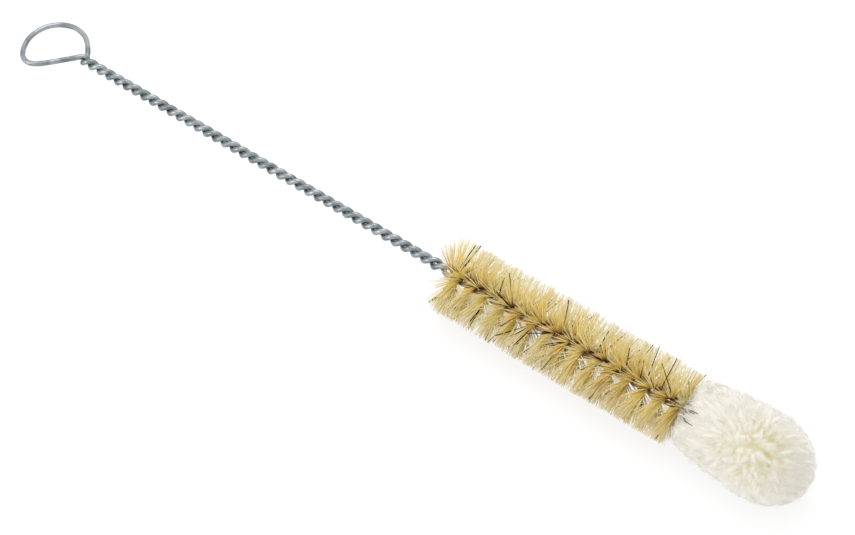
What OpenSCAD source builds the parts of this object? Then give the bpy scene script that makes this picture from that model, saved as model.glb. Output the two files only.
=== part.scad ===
// Bottle brush: one wire bent into a ring and twisted on itself, a spiral of
// bristles gripped in the twist, and a tuft of wool yarn on the tip.
// The brush lies on its bristles and its tuft, ring towards -X, tip towards +X.

/* [Wire] */
// Diameter of the wire
wire_d = 1.8; // [1.4:0.1:1.9]
// Length of the bare twisted handle
handle_l = 153; // [60:1:220]
// Length of one full turn of the twist in the bare handle
handle_pitch = 8.2; // [7.8:0.1:12]
// Angle of the first strand where the ring ends and the twist begins
twist_start = 38; // [30:1:46]

/* [Bristles] */
// Length of the bristle spiral
bristle_l = 96; // [50:1:140]
// Diameter over the bristles
bristle_d = 24.8; // [18:0.2:36]
// Length of one full turn of the twist among the bristles
bristle_pitch = 12.3; // [11:0.1:16]
// Half angle that a fan of bristles spreads to at its rim
fan_spread = 68; // [50:1:76]
// How unevenly the ends of the bristles are trimmed
trim = 0.3; // [0:0.05:0.6]

/* [Wool tuft] */
// Length of the tuft
wool_l = 46; // [34:1:70]
// Diameter of the tuft at its widest
wool_d = 28.4; // [22:0.2:40]
// Distance from the widest place to the tip
wool_nose = 18; // [14:0.5:26]
// Height of the locks of yarn
lock_h = 0.6; // [0:0.1:1]

/* [Rest] */
// How far the soft parts are pressed flat where the brush lies on them
press = 1; // [0.5:0.1:1.6]

/* [Hidden] */

wire_r = wire_d / 2;
bristle_r = bristle_d / 2;
wool_r = wool_d / 2;
// Radius of the strands' helix: touching in the handle, held apart by the bristles
bare_helix_r = wire_r + 0.08;
gripped_helix_r = wire_r + 0.36;
// Length over which the strands spread to take in the bristles
spread_l = 4;

bristle_x = handle_l;
bristle_end = bristle_x + bristle_l;
wool_x = bristle_end + 0.4;
tip_x = wool_x + wool_l;
widest_x = tip_x - wool_nose;
wire_end = tip_x - 13;

// Sides of the wire, its rings in a turn and between two points of the ring's route
wire_sides = 8;
turn_steps = 8;
route_steps = 2;
// Sections of the bristle spiral in a turn
fan_steps = 12;
// Columns of points round the tuft, its locks, and its rows on nose and body
wool_columns = 72;
wool_locks = 12;
nose_rows = 11;
body_rows = 15;

// Route of the ring from the first strand to the second, seen along the brush
route = [
    [-4.1, -0.75, -0.65], [-4.9, 0.4, -1.05], [-5.2, 2.3, -0.85], [-8, 5.6, -0.1],
    [-12.2, 8.7, 0], [-16, 10, 0], [-20, 10, 0], [-24, 8, 0],
    [-26.6, 4.5, 0], [-27.4, 0, 0], [-26.6, -4.6, 0], [-24.1, -9.2, 0],
    [-21, -12.2, 0], [-18.1, -12.9, 0], [-15.2, -11.6, 0], [-12.4, -8.5, 0.1],
    [-9.6, -5.1, 0.35], [-7.2, -2.5, 0.75], [-5.3, -0.3, 1], [-4.2, 0.75, 0.7]
];
ring_centre = [-16, -1.5, 0];
ring_back = 27.4 + wire_r;
// Where the strands leave the twist for the ring, and how soon they face outwards
neck_x = -4.5;
neck_l = 4;

// Tilt of the brush as it lies: the tuft is thicker than the bristles
tilt = asin((wool_r - bristle_r) / (widest_x - bristle_x - spread_l));
axis_z = (bristle_r * cos(tilt) - press) - (bristle_x + spread_l) * sin(tilt);
middle_x = (tip_x - ring_back) / 2 * cos(tilt);

function clamp(v, low, high) = min(max(v, low), high);
function unit(v) = v / norm(v);
function smooth(t) = t * t * (3 - 2 * t);

// From the brush's own axis to where the brush lies
function laid(p) = [
    p.x * cos(tilt) - p.z * sin(tilt) - middle_x,
    p.y,
    axis_z + p.x * sin(tilt) + p.z * cos(tilt)
];

// Furthest a soft part reaches from the axis before it meets the surface below
function room(x, angle) =
    sin(angle) < -0.1 ? (axis_z + x * sin(tilt)) / (-sin(angle) * cos(tilt)) : 1000;

/* ---- The twisted wire ---- */

handle_turns = handle_l / handle_pitch;

// Turns of the twist up to x, and the x at which a number of turns is reached
function turns_at(x) =
    x < handle_l ? x / handle_pitch : handle_turns + (x - handle_l) / bristle_pitch;
function x_at(turns) =
    turns < handle_turns ? turns * handle_pitch : handle_l + (turns - handle_turns) * bristle_pitch;
// The twist is left-handed
function strand_angle(x) = twist_start - 360 * turns_at(x);
function helix_r(x) =
    bare_helix_r
    + (gripped_helix_r - bare_helix_r) * smooth(clamp((x - handle_l) / spread_l + 1, 0, 1));

function strand_point(x, offset) =
    let (a = strand_angle(x) + offset) [x, helix_r(x) * cos(a), helix_r(x) * sin(a)];

// A smooth curve through p1 and p2, on its way from p0 to p3
function curve(p0, p1, p2, p3, t) =
    let (
        a = sqrt(norm(p1 - p0)), b = sqrt(norm(p2 - p1)), c = sqrt(norm(p3 - p2)),
        m1 = (p2 - p1) + b * ((p1 - p0) / a - (p2 - p0) / (a + b)),
        m2 = (p2 - p1) + b * ((p3 - p2) / c - (p3 - p1) / (b + c))
    )
    (2 * t ^ 3 - 3 * t ^ 2 + 1) * p1 + (t ^ 3 - 2 * t ^ 2 + t) * m1
    + (3 * t ^ 2 - 2 * t ^ 3) * p2 + (t ^ 3 - t ^ 2) * m2;

// Steps of the twist, from just inside the ring's neck to the end of the wire
first_step = -3;
last_step = floor(turns_at(wire_end) * turn_steps);
steps = [for (k = [first_step:last_step]) x_at(k / turn_steps)];

ring_knots = concat(
    [strand_point(steps[1], 0), strand_point(steps[0], 0)],
    route,
    [strand_point(steps[0], 180), strand_point(steps[1], 180)]
);

// The whole wire: first strand back to the ring, round it, and out again
wire_path = concat(
    [for (k = [len(steps) - 1:-1:1]) strand_point(steps[k], 0)],
    [for (i = [1:len(ring_knots) - 3]) for (s = [0:route_steps - 1])
        curve(ring_knots[i - 1], ring_knots[i], ring_knots[i + 1], ring_knots[i + 2], s / route_steps)],
    [for (k = [0:len(steps) - 1]) strand_point(steps[k], 180)]
);

// The side of the wire that faces away from the twist's axis, or out of the ring
function outer_side(p) =
    let (w = clamp((neck_x - p.x) / neck_l, 0, 1))
    (1 - w) * [0, p.y, p.z] + w * unit([p.x - ring_centre.x, p.y - ring_centre.y, 0]);

// The twist turns the wire by about one side a step, and the count of sides follows it
function sides_turned(i) = min(i, len(steps) - 1) + max(0, i - len(wire_path) + len(steps));

// One ring of points round the wire, with a flat towards the axis
function wire_ring(path, i) =
    let (
        t = unit(path[min(i + 1, len(path) - 1)] - path[max(i - 1, 0)]),
        s = outer_side(path[i]),
        out = unit(s - (s * t) * t),
        across = cross(t, out)
    )
    [for (j = [0:wire_sides - 1])
        let (a = (j + sides_turned(i) + 0.5) * 360 / wire_sides)
        laid(path[i] + wire_r * (cos(a) * out + sin(a) * across))];

// Two triangles for each side between one ring of points and the next
function band(n, rings) = [
    for (i = [0:rings - 2]) for (j = [0:n - 1])
        let (a = i * n + j, b = i * n + (j + 1) % n)
        each [[a, a + n, b], [b, a + n, b + n]]
];

module wire_handle() {
    n = wire_sides;
    rings = len(wire_path);
    points = [for (i = [0:rings - 1]) each wire_ring(wire_path, i)];
    start = [for (j = [0:n - 1]) j];
    end = [for (j = [n - 1:-1:0]) (rings - 1) * n + j];
    color("silver")
        polyhedron(points = points, faces = concat([start], band(n, rings), [end]));
}

/* ---- The bristle spiral ---- */

// Half of a fan in section, as [radius, half angle], from the grip out to the rim
fan_side = [[1.35, 10], [3.4, 32], [7.6, 0.78 * fan_spread], [bristle_r, fan_spread]];
rim_points = 5;
fan_points = 2 * (len(fan_side) - 1) + rim_points;

// The outline of one fan, round from its lower root to its upper root
fan_outline = concat(
    [for (i = [0:len(fan_side) - 2]) [fan_side[i][0], -fan_side[i][1]]],
    [for (j = [0:rim_points - 1]) [bristle_r, fan_spread * (2 * j / (rim_points - 1) - 1)]],
    [for (i = [len(fan_side) - 2:-1:0]) fan_side[i]]
);

fan_sections = ceil(bristle_l / bristle_pitch * fan_steps) + 1;
fan_jitter = rands(-trim, trim, fan_sections * 2 * fan_points, 5);

// The first fans are short and lean out from the grip
function fan_fullness(x) = 0.4 + 0.6 * sin(90 * clamp((x - bristle_x) / spread_l, 0, 1));

function fan_section(i) =
    let (x = bristle_x + bristle_l * i / (fan_sections - 1))
    [for (side = [0, 1]) for (j = [0:fan_points - 1])
        let (
            p = fan_outline[j],
            a = strand_angle(x) + 90 + 180 * side + p[1],
            rim = p[0] == bristle_r ? fan_jitter[(i * 2 + side) * fan_points + j] : 0,
            grip = fan_side[0][0],
            reach = (p[0] - grip) * fan_fullness(x) + rim,
            most = (room(x, a) - grip) / (bristle_r - grip),
            r = grip + min(reach, (p[0] - grip) * min(most, 1.05))
        )
        laid([x, r * cos(a), r * sin(a)])];

// Flat faces that close the spiral's section, one strip of a fan at a time
function fan_cap(first, flip) =
    let (
        n = fan_points,
        k = len(fan_side) - 1,
        strips = [for (side = [0, n]) each concat(
            [for (i = [0:k - 1]) [i, i + 1, n - 2 - i, n - 1 - i] + [side, side, side, side]],
            [[for (j = [k:n - 1 - k]) j + side]]
        )],
        web = [[n - 1, n, 2 * n - 1, 0]]
    )
    [for (f = concat(strips, web)) let (g = [for (v = f) v + first])
        flip ? [for (v = [len(g) - 1:-1:0]) g[v]] : g];

module bristle_spiral() {
    n = 2 * fan_points;
    points = [for (i = [0:fan_sections - 1]) each fan_section(i)];
    faces = concat(
        fan_cap(0, false), band(n, fan_sections), fan_cap((fan_sections - 1) * n, true));
    color("tan")
        polyhedron(points = points, faces = faces);
}

/* ---- The wool tuft ---- */

// The tuft's outline is rounder than an ellipse at the nose and fills out from a blunt start
nose_power = 2.3;
start_r = 0.78 * wool_r;
start_round = 3;
bore_r = gripped_helix_r + wire_r + 0.1;
bore_end = wire_end + 1;

function nose_row(i) =
    let (c = cos(90 * i / nose_rows))
    [widest_x + wool_nose * c, wool_r * (1 - c ^ nose_power) ^ (1 / nose_power)];

function body_row(i) =
    let (
        x = widest_x + (wool_x - widest_x) * i / body_rows,
        r = wool_r - (wool_r - start_r) * (i / body_rows) ^ 1.6,
        lip = clamp((x - wool_x) / start_round, 0, 1)
    )
    [x, r - start_round * (1 - sqrt(1 - (1 - lip) ^ 2))];

wool_outline = concat(
    [for (i = [1:nose_rows]) nose_row(i)],
    [for (i = [1:body_rows]) body_row(i)]
);
outer_rows = len(wool_outline);
wool_rows = outer_rows + 2;
wool_jitter = rands(-0.25, 0.25, outer_rows * wool_columns, 11);

function wool_point(i, j) =
    let (
        a = -360 * j / wool_columns,
        p = wool_outline[i],
        lock = lock_h * cos(wool_locks * a) * cos(90 * i),
        r = p[1] + (lock + wool_jitter[i * wool_columns + j]) * p[1] / wool_r,
        held = min(r, room(p[0], a))
    )
    laid([p[0], held * cos(a), held * sin(a)]);

function bore_point(x, j) =
    let (a = -360 * j / wool_columns) laid([x, bore_r * cos(a), bore_r * sin(a)]);

module wool_tuft() {
    n = wool_columns;
    nose = wool_rows * n;
    last = (wool_rows - 1) * n;
    points = concat(
        [for (i = [0:outer_rows - 1]) for (j = [0:n - 1]) wool_point(i, j)],
        [for (x = [wool_x, bore_end]) for (j = [0:n - 1]) bore_point(x, j)],
        [laid([tip_x, 0, 0]), laid([bore_end, 0, 0])]
    );
    faces = concat(
        [for (j = [0:n - 1]) [nose, j, (j + 1) % n]],
        band(n, wool_rows),
        [for (j = [0:n - 1]) [last + (j + 1) % n, last + j, nose + 1]]
    );
    color("ivory")
        polyhedron(points = points, faces = faces);
}

wire_handle();
bristle_spiral();
wool_tuft();
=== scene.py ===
"""A bottle brush: twisted galvanised wire, a spiral of trimmed bristles and a tuft of wool."""

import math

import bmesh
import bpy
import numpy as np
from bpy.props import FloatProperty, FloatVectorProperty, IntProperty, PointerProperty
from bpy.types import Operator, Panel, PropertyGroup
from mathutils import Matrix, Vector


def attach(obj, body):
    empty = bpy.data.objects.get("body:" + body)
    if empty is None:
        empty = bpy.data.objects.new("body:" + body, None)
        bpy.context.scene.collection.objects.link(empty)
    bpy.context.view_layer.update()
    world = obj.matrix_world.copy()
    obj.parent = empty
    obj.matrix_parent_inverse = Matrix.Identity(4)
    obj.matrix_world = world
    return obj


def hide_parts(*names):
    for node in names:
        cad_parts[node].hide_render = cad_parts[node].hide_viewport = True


bl_info = {
    "name": "Bottle Brush",
    "version": (1, 0, 0),
    "blender": (4, 5, 0),
    "location": "View3D > Sidebar > Brush",
    "description": "Builds a brush's wire, bristles and wool, and its floor, light and camera",
    "category": "Add Mesh",
}

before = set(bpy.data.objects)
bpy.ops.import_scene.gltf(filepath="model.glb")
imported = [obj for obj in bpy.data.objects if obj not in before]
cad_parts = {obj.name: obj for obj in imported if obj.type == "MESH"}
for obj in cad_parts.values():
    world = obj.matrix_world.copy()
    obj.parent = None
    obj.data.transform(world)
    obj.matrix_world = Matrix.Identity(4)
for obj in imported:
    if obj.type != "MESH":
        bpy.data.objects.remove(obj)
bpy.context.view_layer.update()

MM = 0.001
BODY = "root"
# Every strand's map: across is its own tint, up is the way from root to tip
STRAND_MAP = "OFBake"

# Gaps between wire and twist axis: bare, and where the wire grips bristles
BARE_GAP = 0.08 * MM
GRIPPED_GAP = 0.36 * MM
# The longest bristles end this far past the bristle diameter, and most end close to it
LONGEST_PAST = 0.5 * MM
# No bristle is cut shorter than the longest by more than this
MOST_CUT = 3 * MM
# Length over which the strands spread to take in the bristles
SPREAD = 4 * MM
# The wire ends this far short of the tuft's tip, and the tuft starts this far past the bristles
WIRE_SHORT = 13 * MM
WOOL_GAP = 0.4 * MM
# Ring's outer edge, back from where the twist begins
RING_BACK = 28.3 * MM
# Route of the ring from the first strand to the second, in millimetres along, across and up
RING_ROUTE = (
    (-4.1, -0.75, -0.65), (-4.9, 0.4, -1.05), (-5.2, 2.3, -0.85), (-8, 5.6, -0.1),
    (-12.2, 8.7, 0), (-16, 10, 0), (-20, 10, 0), (-24, 8, 0),
    (-26.6, 4.5, 0), (-27.4, 0, 0), (-26.6, -4.6, 0), (-24.1, -9.2, 0),
    (-21, -12.2, 0), (-18.1, -12.9, 0), (-15.2, -11.6, 0), (-12.4, -8.5, 0.1),
    (-9.6, -5.1, 0.35), (-7.2, -2.5, 0.75), (-5.3, -0.3, 1), (-4.2, 0.75, 0.7),
)
# The helix runs on into the ring's neck as far as this, and the bend takes over its way there
NECK = -3.075 * MM
LEAD_IN = 1 * MM
# The first bristles are gripped this far into the spiral, and the last this far into the tuft
FIRST_GRIPPED = 4.8 * MM
LAST_GRIPPED = 2 * MM
# Among the bristles the wire is brown: partly bristle roots wrapped round it, partly a painted
# reflection of the golden bristles
# The wire's brown among the bristles comes up to full strength over this length, and its dull
# patches are this dark
AMONG_BRISTLES_SPREAD = 9 * MM
DULL_AMONG_BRISTLES = 0.5
# How blunt the tuft's nose is, and how late it narrows on its way back to the start
NOSE_POWER = 2.1
BACK_POWER = 1.6
# Share of the tuft's radius at its start, and how far its edge there is rounded
WOOL_START = 0.74
WOOL_LIP = 3 * MM
# The tuft's tip lies this far to one side, and the way there bends this sharply
WOOL_ASIDE = 1.4 * MM
ASIDE_POWER = 1.5
# The tuft widens from the wire over this length, and over this much more where it parts
COLLAR = 3 * MM
PARTED = 6 * MM
START_PARTING = math.radians(130)
PARTING_SPREAD = math.radians(42)
# At its very start the tuft is as wide as this share of the way over that length
LEAST_WIDENED = 0.08
# The lowest strands and the closed wool clear the surface by this much
FLOOR_GAP = 0.05 * MM
WOOL_GAP_BELOW = 0.1 * MM
# Keeps a division from failing where a length is nothing
TINY = 1e-9
# Seeds of the random draws
BRISTLE_SEED = 21
DARK_SEED = 8
LOCK_SEED = 17
FIBRE_SEED = 4


def shade(red, green, blue):
    """A colour as it shows on screen, turned into Blender's linear values."""
    return tuple((c / 255) ** 2.2 for c in (red, green, blue))


def grey(level):
    """An even colour."""
    return (level, level, level)


def scaled(tone, times):
    """A colour made darker or lighter."""
    return tuple(times * c for c in tone)


def length(name, value, description):
    """A setting for a length, its default in millimetres."""
    return FloatProperty(name=name, description=description, default=value * MM, min=0,
                         subtype="DISTANCE", unit="LENGTH", precision=5)


def angle(name, degrees, description):
    """A setting for an angle, its default in degrees."""
    return FloatProperty(name=name, description=description, default=math.radians(degrees),
                         subtype="ANGLE")


def colour(name, red, green, blue, description):
    """A setting for a colour, its default as it shows on screen."""
    return FloatVectorProperty(name=name, description=description, subtype="COLOR",
                               default=shade(red, green, blue), min=0, max=1)


def amount(name, value, description, low=1, high=200000):
    """A setting for a whole number."""
    return IntProperty(name=name, description=description, default=value, min=low, max=high)


def share(name, value, description):
    """A setting for a share of the whole."""
    return FloatProperty(name=name, description=description, default=value, min=0, max=1)


class BrushSizes(PropertyGroup):
    """The sizes that the whole brush is built from."""

    wire_d: length("Wire diameter", 1.8, "Diameter of the wire")
    handle_l: length("Handle length", 153, "Length of the bare twisted handle")
    handle_pitch: length("Handle pitch", 8.2, "One full turn of the twist in the handle")
    twist_start: angle("Twist start", 38, "Angle of the first strand at the ring")
    bristle_l: length("Bristle length", 96, "Length of the bristle spiral")
    bristle_d: length("Bristle diameter", 24.8, "Diameter over the bristles")
    bristle_pitch: length("Bristle pitch", 12.3, "One full turn of the twist in the bristles")
    wool_l: length("Wool length", 46, "Length of the tuft")
    wool_d: length("Wool diameter", 28.4, "Diameter of the tuft at its widest")
    wool_nose: length("Wool nose", 18, "Distance from the widest place to the tip")
    press: length("Press", 1, "How far the soft parts are pressed flat")


class WireSettings(PropertyGroup):
    """The galvanised wire."""

    sides: amount("Rounds", 3, "How finely the wire's section is rounded", 1, 8)
    bare_steps: amount("Bare steps", 20, "Points in one turn of the bare twist", 8, 40)
    gripped_steps: amount("Gripped steps", 14, "Points in one turn in the bristles", 8, 40)
    ring_steps: amount("Ring steps", 8, "Points between two knots of the ring", 2, 20)
    dull: colour("Dull zinc", 120, 127, 130, "Colour of the dull patches")
    bright: colour("Bright zinc", 160, 167, 170, "Colour of the bright patches")
    # Brown among the bristles: partly bristle roots wrapped round the wire, partly a painted
    # reflection of the golden bristles
    wrapped_and_reflected: colour("Wrapped and reflecting zinc", 176, 146, 98, "Colour of the wire among the bristles")


class BristleSettings(PropertyGroup):
    """The bristles of the spiral."""

    count: amount("Bristles a side", 2900, "Bristle ends on each side of the twist")
    dark_count: amount("Dark bristles a side", 55, "Dark bristle ends on each side")
    thick: length("Thickness", 0.2, "Thickness of a bristle")
    flattened: amount("Flattened", 7, "Dark bristle ends that lie flat where the tuft starts")
    dark_thick: length("Dark thickness", 0.42, "Thickness of a dark bristle")
    tufts: amount("Tufts", 110, "Small tufts that the bristles of one side gather in")
    tuft_lean: angle("Tuft lean", 4, "How far a tuft leans along the brush as a whole")
    tuft_trim: length("Tuft trim", 0.3, "How unevenly the tufts are cut")
    lean: angle("Lean", 7.5, "How far the bristles of a tuft lean apart")
    sway: angle("Sway", 7, "How far the bristles stray round the brush")
    trim: length("Trim", 0.4, "How unevenly the bristles are cut")
    off_centre: length("Off centre", 0.6, "How far off the twist the bristles are cut")
    off_side: angle("Off side", 218, "Angle round the brush where they are longest")
    fuller: share("Fuller", 0.35, "How much fuller the brush is where they are longest")
    parted: share("Parted", 0.6, "How much thinner the bristles stand where they part")
    part_side: angle("Part side", 128, "Angle round the brush where they part")
    bend: length("Bend", 0.25, "How far a bristle bends on its way out")
    # Dark brown at the twist: partly the bristles' own colour, partly painted shade where they
    # crowd round the wire
    root: colour("Root", 119, 80, 34, "Colour of the bristles at the twist")
    straw: colour("Straw", 247, 227, 136, "Colour of most bristles")
    brown: colour("Brown", 219, 176, 113, "Colour of the brownest bristles")
    gold: colour("Gold", 246, 215, 108, "Colour of the yellowest bristles")
    cream: colour("Cream", 247, 240, 197, "Colour of the palest bristles")
    # Paler ends: painted light shining through the thin cut tips
    tip: colour("Tip", 221, 213, 189, "Colour of the cut ends")
    dark: colour("Dark", 50, 32, 12, "Colour of the dark bristles")


class WoolSettings(PropertyGroup):
    """The wool of the tuft."""

    locks: amount("Locks", 1500, "Locks that the wool gathers in")
    rings: amount("Rings", 270, "Rings of faces along the closed wool")
    rounds: amount("Rounds", 320, "Faces round the closed wool")
    body: share("Body", 0.95, "Share of the tuft's reach that is closed wool")
    relief: length("Relief", 0.17, "Height of the locks on the closed wool")
    proud: share("Proud locks", 0.12, "Share of the locks that stand well out")
    knob: length("Knob", 0.45, "Height of the locks at the crown and where the wool curls")
    crown_x: length("Crown place", 279, "Place along the brush that the wool is combed away from")
    crown: angle("Crown", 129, "Angle round the brush that the wool is combed away from")
    curls_x: length("Curls place", 285, "Place along the brush where the wool curls")
    curls: angle("Curls", 152, "Angle round the brush where the wool curls")
    yaw: angle("Yaw", 9, "How far the locks stray from their way")
    toss: angle("Toss", 60, "How far the locks stray at the crown and where the wool curls")
    fibres: amount("Fibres", 3000, "Loose fibres on the tuft")
    fibre_d: length("Fibre diameter", 0.12, "Thickness of a fibre")
    staple: length("Staple", 4.6, "Length of the fibres that lie on the tuft")
    fluff: length("Fluff", 0.55, "How far the loose fibres stand out")
    lift: angle("Lift", 15, "How steeply the fibres leave the tuft")
    spread: length("Spread", 0.8, "How far a fibre stands from the middle of its lock")
    ragged: share("Ragged", 0.5, "How unevenly the fibres are cut")
    curl: length("Curl", 0.15, "How far a fibre curls on its way out")
    gather: share("Gather", 0.7, "How far the ends of a lock draw together")
    collar: amount("Collar fibres", 1000, "Fibres that fan out from the wire where the tuft starts")
    early: length("Early wool", 3.2, "How far before the tuft its first fibres are gripped")
    # Yellowish in the partings: partly the wool's own yellower inside, partly painted shade between
    # the locks
    parting_yellow_and_shade: colour("Deep wool", 184, 176, 116, "Colour of the wool in the partings at the crown")
    warm: colour("Warm wool", 210, 204, 187, "Colour of the warmest wool")
    white: colour("White wool", 216, 213, 203, "Colour of the whitest wool")
    ends: colour("Wool ends", 242, 241, 233, "Colour of the loose ends")


class StageSettings(PropertyGroup):
    """The floor, the light and the camera."""

    floor_size: length("Floor size", 4000, "Side of the floor")
    azimuth: angle("Azimuth", 40.38, "Camera's turn round the brush")
    elevation: angle("Elevation", 44.39, "Camera's height above the brush")
    distance: length("Distance", 945.5, "From the camera to the point it looks at")
    lens: FloatProperty(name="Lens", description="Focal length in millimetres", default=126.32)


class BrushLay:
    """The brush's own axis, x = 0 where the twist begins, and how the brush lies on a surface."""

    def __init__(self, sizes):
        self.sizes = sizes
        self.wire_r = sizes.wire_d / 2
        self.bristle_r = sizes.bristle_d / 2
        self.wool_r = sizes.wool_d / 2
        self.bristle_x = sizes.handle_l
        self.bristle_end = self.bristle_x + sizes.bristle_l
        self.wool_x = self.bristle_end + WOOL_GAP
        self.tip_x = self.wool_x + sizes.wool_l
        self.widest_x = self.tip_x - sizes.wool_nose
        self.wire_end = self.tip_x - WIRE_SHORT
        run = self.widest_x - self.bristle_x - SPREAD
        self.tilt = math.asin((self.wool_r - self.bristle_r) / run)
        height = self.bristle_r * math.cos(self.tilt) - sizes.press
        self.axis_z = height - (self.bristle_x + SPREAD) * math.sin(self.tilt)
        self.middle_x = (self.tip_x - RING_BACK) / 2 * math.cos(self.tilt)

    def turns_at(self, x):
        """Turns of the twist from its start to x along the brush."""
        s = self.sizes
        handle_turns = s.handle_l / s.handle_pitch
        gripped = handle_turns + (x - s.handle_l) / s.bristle_pitch
        return np.where(x < s.handle_l, x / s.handle_pitch, gripped)

    def x_at(self, turns):
        """Where along the brush the twist has made so many turns."""
        s = self.sizes
        handle_turns = s.handle_l / s.handle_pitch
        gripped = s.handle_l + (turns - handle_turns) * s.bristle_pitch
        return np.where(turns < handle_turns, turns * s.handle_pitch, gripped)

    def strand_angle(self, x):
        """Angle of the first strand from +Y towards +Z. The twist is left-handed."""
        return self.sizes.twist_start - 2 * math.pi * self.turns_at(x)

    def helix_r(self, x):
        """Distance from the twist's axis to the middle of each strand."""
        t = np.clip((x - self.sizes.handle_l) / SPREAD + 1, 0, 1)
        spread = t * t * (3 - 2 * t)
        return self.wire_r + BARE_GAP + (GRIPPED_GAP - BARE_GAP) * spread

    def wool_outline(self, x):
        """Radius of the tuft at x along the brush."""
        s = self.sizes
        nose = np.clip((x - self.widest_x) / s.wool_nose, 0, 1)
        body = np.clip((self.widest_x - x) / (self.widest_x - self.wool_x), 0, 1)
        lip = np.clip((x - self.wool_x) / WOOL_LIP, 0, 1)
        rounded = WOOL_LIP * (1 - np.sqrt(1 - (1 - lip) ** 2))
        front = self.wool_r * (1 - nose ** NOSE_POWER) ** (1 / NOSE_POWER)
        back = self.wool_r * (1 - (1 - WOOL_START) * body ** BACK_POWER) - rounded
        return np.where(x > self.widest_x, front, back)

    def wool_widening(self, x, angles):
        """Share of its outline that the tuft reaches at its start, less where it parts."""
        turn = (angles - START_PARTING + math.pi) % (2 * math.pi) - math.pi
        over = COLLAR + PARTED * np.exp(-(turn / PARTING_SPREAD) ** 2)
        return np.sin(np.clip((x - self.wool_x) / over, LEAST_WIDENED, 1) * math.pi / 2)

    def laid(self, points):
        """Points on the brush's own axis, moved to where the brush lies."""
        points = np.asarray(points, float)
        c, s = math.cos(self.tilt), math.sin(self.tilt)
        x, y, z = points[..., 0], points[..., 1], points[..., 2]
        return np.stack((x * c - z * s - self.middle_x, y, self.axis_z + x * s + z * c), -1)


def laid_wool(lay, points):
    """Points of the tuft, moved the way that it leans and to where the brush lies."""
    part = np.clip((points[..., 0] - lay.wool_x) / lay.sizes.wool_l, 0, 1)
    aside = (WOOL_ASIDE * part ** ASIDE_POWER)[..., None] * np.array((0, 1, 0))
    return lay.laid(points - aside)


def out_from_axis(angles):
    """Unit vectors straight out from the brush's axis."""
    return np.stack((np.zeros_like(angles), np.cos(angles), np.sin(angles)), -1)


def unit(ways):
    """Vectors brought to a length of one."""
    return ways / np.maximum(np.linalg.norm(ways, axis=-1, keepdims=True), TINY)


def smooth_route(knots, steps):
    """A centripetal Catmull-Rom curve through the knots, less the first and the last."""
    knots = np.asarray(knots, float)
    found = []
    for p0, p1, p2, p3 in zip(knots, knots[1:], knots[2:], knots[3:]):
        a, b, c = (math.sqrt(np.linalg.norm(v)) for v in (p1 - p0, p2 - p1, p3 - p2))
        m1 = (p2 - p1) + b * ((p1 - p0) / a - (p2 - p0) / (a + b))
        m2 = (p2 - p1) + b * ((p3 - p2) / c - (p3 - p1) / (b + c))
        for t in np.arange(steps) / steps:
            found.append((2 * t**3 - 3 * t**2 + 1) * p1 + (t**3 - 2 * t**2 + t) * m1
                         + (3 * t**2 - 2 * t**3) * p2 + (t**3 - t**2) * m2)
    return found


def wire_route(lay, settings):
    """The whole wire: back along the first strand, round the ring, and out along the second."""
    handle_end = lay.turns_at(lay.sizes.handle_l)
    start, end = lay.turns_at(NECK), lay.turns_at(lay.wire_end)
    bare = np.arange(start, handle_end, 1 / settings.bare_steps)
    gripped = np.linspace(handle_end, end, int((end - handle_end) * settings.gripped_steps))
    x = lay.x_at(np.concatenate((bare, gripped)))

    def strand(x, offset):
        out = out_from_axis(lay.strand_angle(x) + offset)
        return out * lay.helix_r(x)[..., None] + np.stack((x, 0 * x, 0 * x), -1)

    first, second = strand(x, 0), strand(x, math.pi)
    neck = np.array([NECK])
    ring = np.concatenate((
        strand(neck + LEAD_IN, 0), strand(neck, 0),
        np.array(RING_ROUTE) * MM,
        strand(neck, math.pi), strand(neck + LEAD_IN, math.pi),
    ))
    bend = smooth_route(ring, settings.ring_steps)
    return np.concatenate((first[:0:-1], bend, second))


def new_object(name, data):
    """A new object that holds the data, put in the scene."""
    piece = bpy.data.objects.new(name, data)
    bpy.context.scene.collection.objects.link(piece)
    return piece


def dress(piece, material, node):
    """Gives a piece its finish and its place in the frame."""
    piece.data.materials.append(material)
    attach(piece, BODY)
    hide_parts(node)


# Ways that point further along the brush than this are crossed with another axis
NEAR_AXIS = 0.8


def side_vectors(ways):
    """Two unit vectors across each way, square to it and to each other."""
    ways = ways / np.linalg.norm(ways, axis=-1, keepdims=True)
    aside = np.where(np.abs(ways[..., :1]) < NEAR_AXIS, (1.0, 0.0, 0.0), (0.0, 1.0, 0.0))
    first = np.cross(ways, aside)
    first /= np.linalg.norm(first, axis=-1, keepdims=True)
    return first, np.cross(ways, first)


def strand_rings(paths, widths, sides, turns):
    """The corners round every point of every strand, as strand, point, side and place."""
    first, second = side_vectors(paths[:, -1] - paths[:, 0])
    around = turns[:, None] + 2 * math.pi * np.arange(sides) / sides
    across = (np.cos(around)[..., None] * first[:, None]
              + np.sin(around)[..., None] * second[:, None])
    return paths[:, :, None] + across[:, None] * widths[:, :, None, None] / 2


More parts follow.
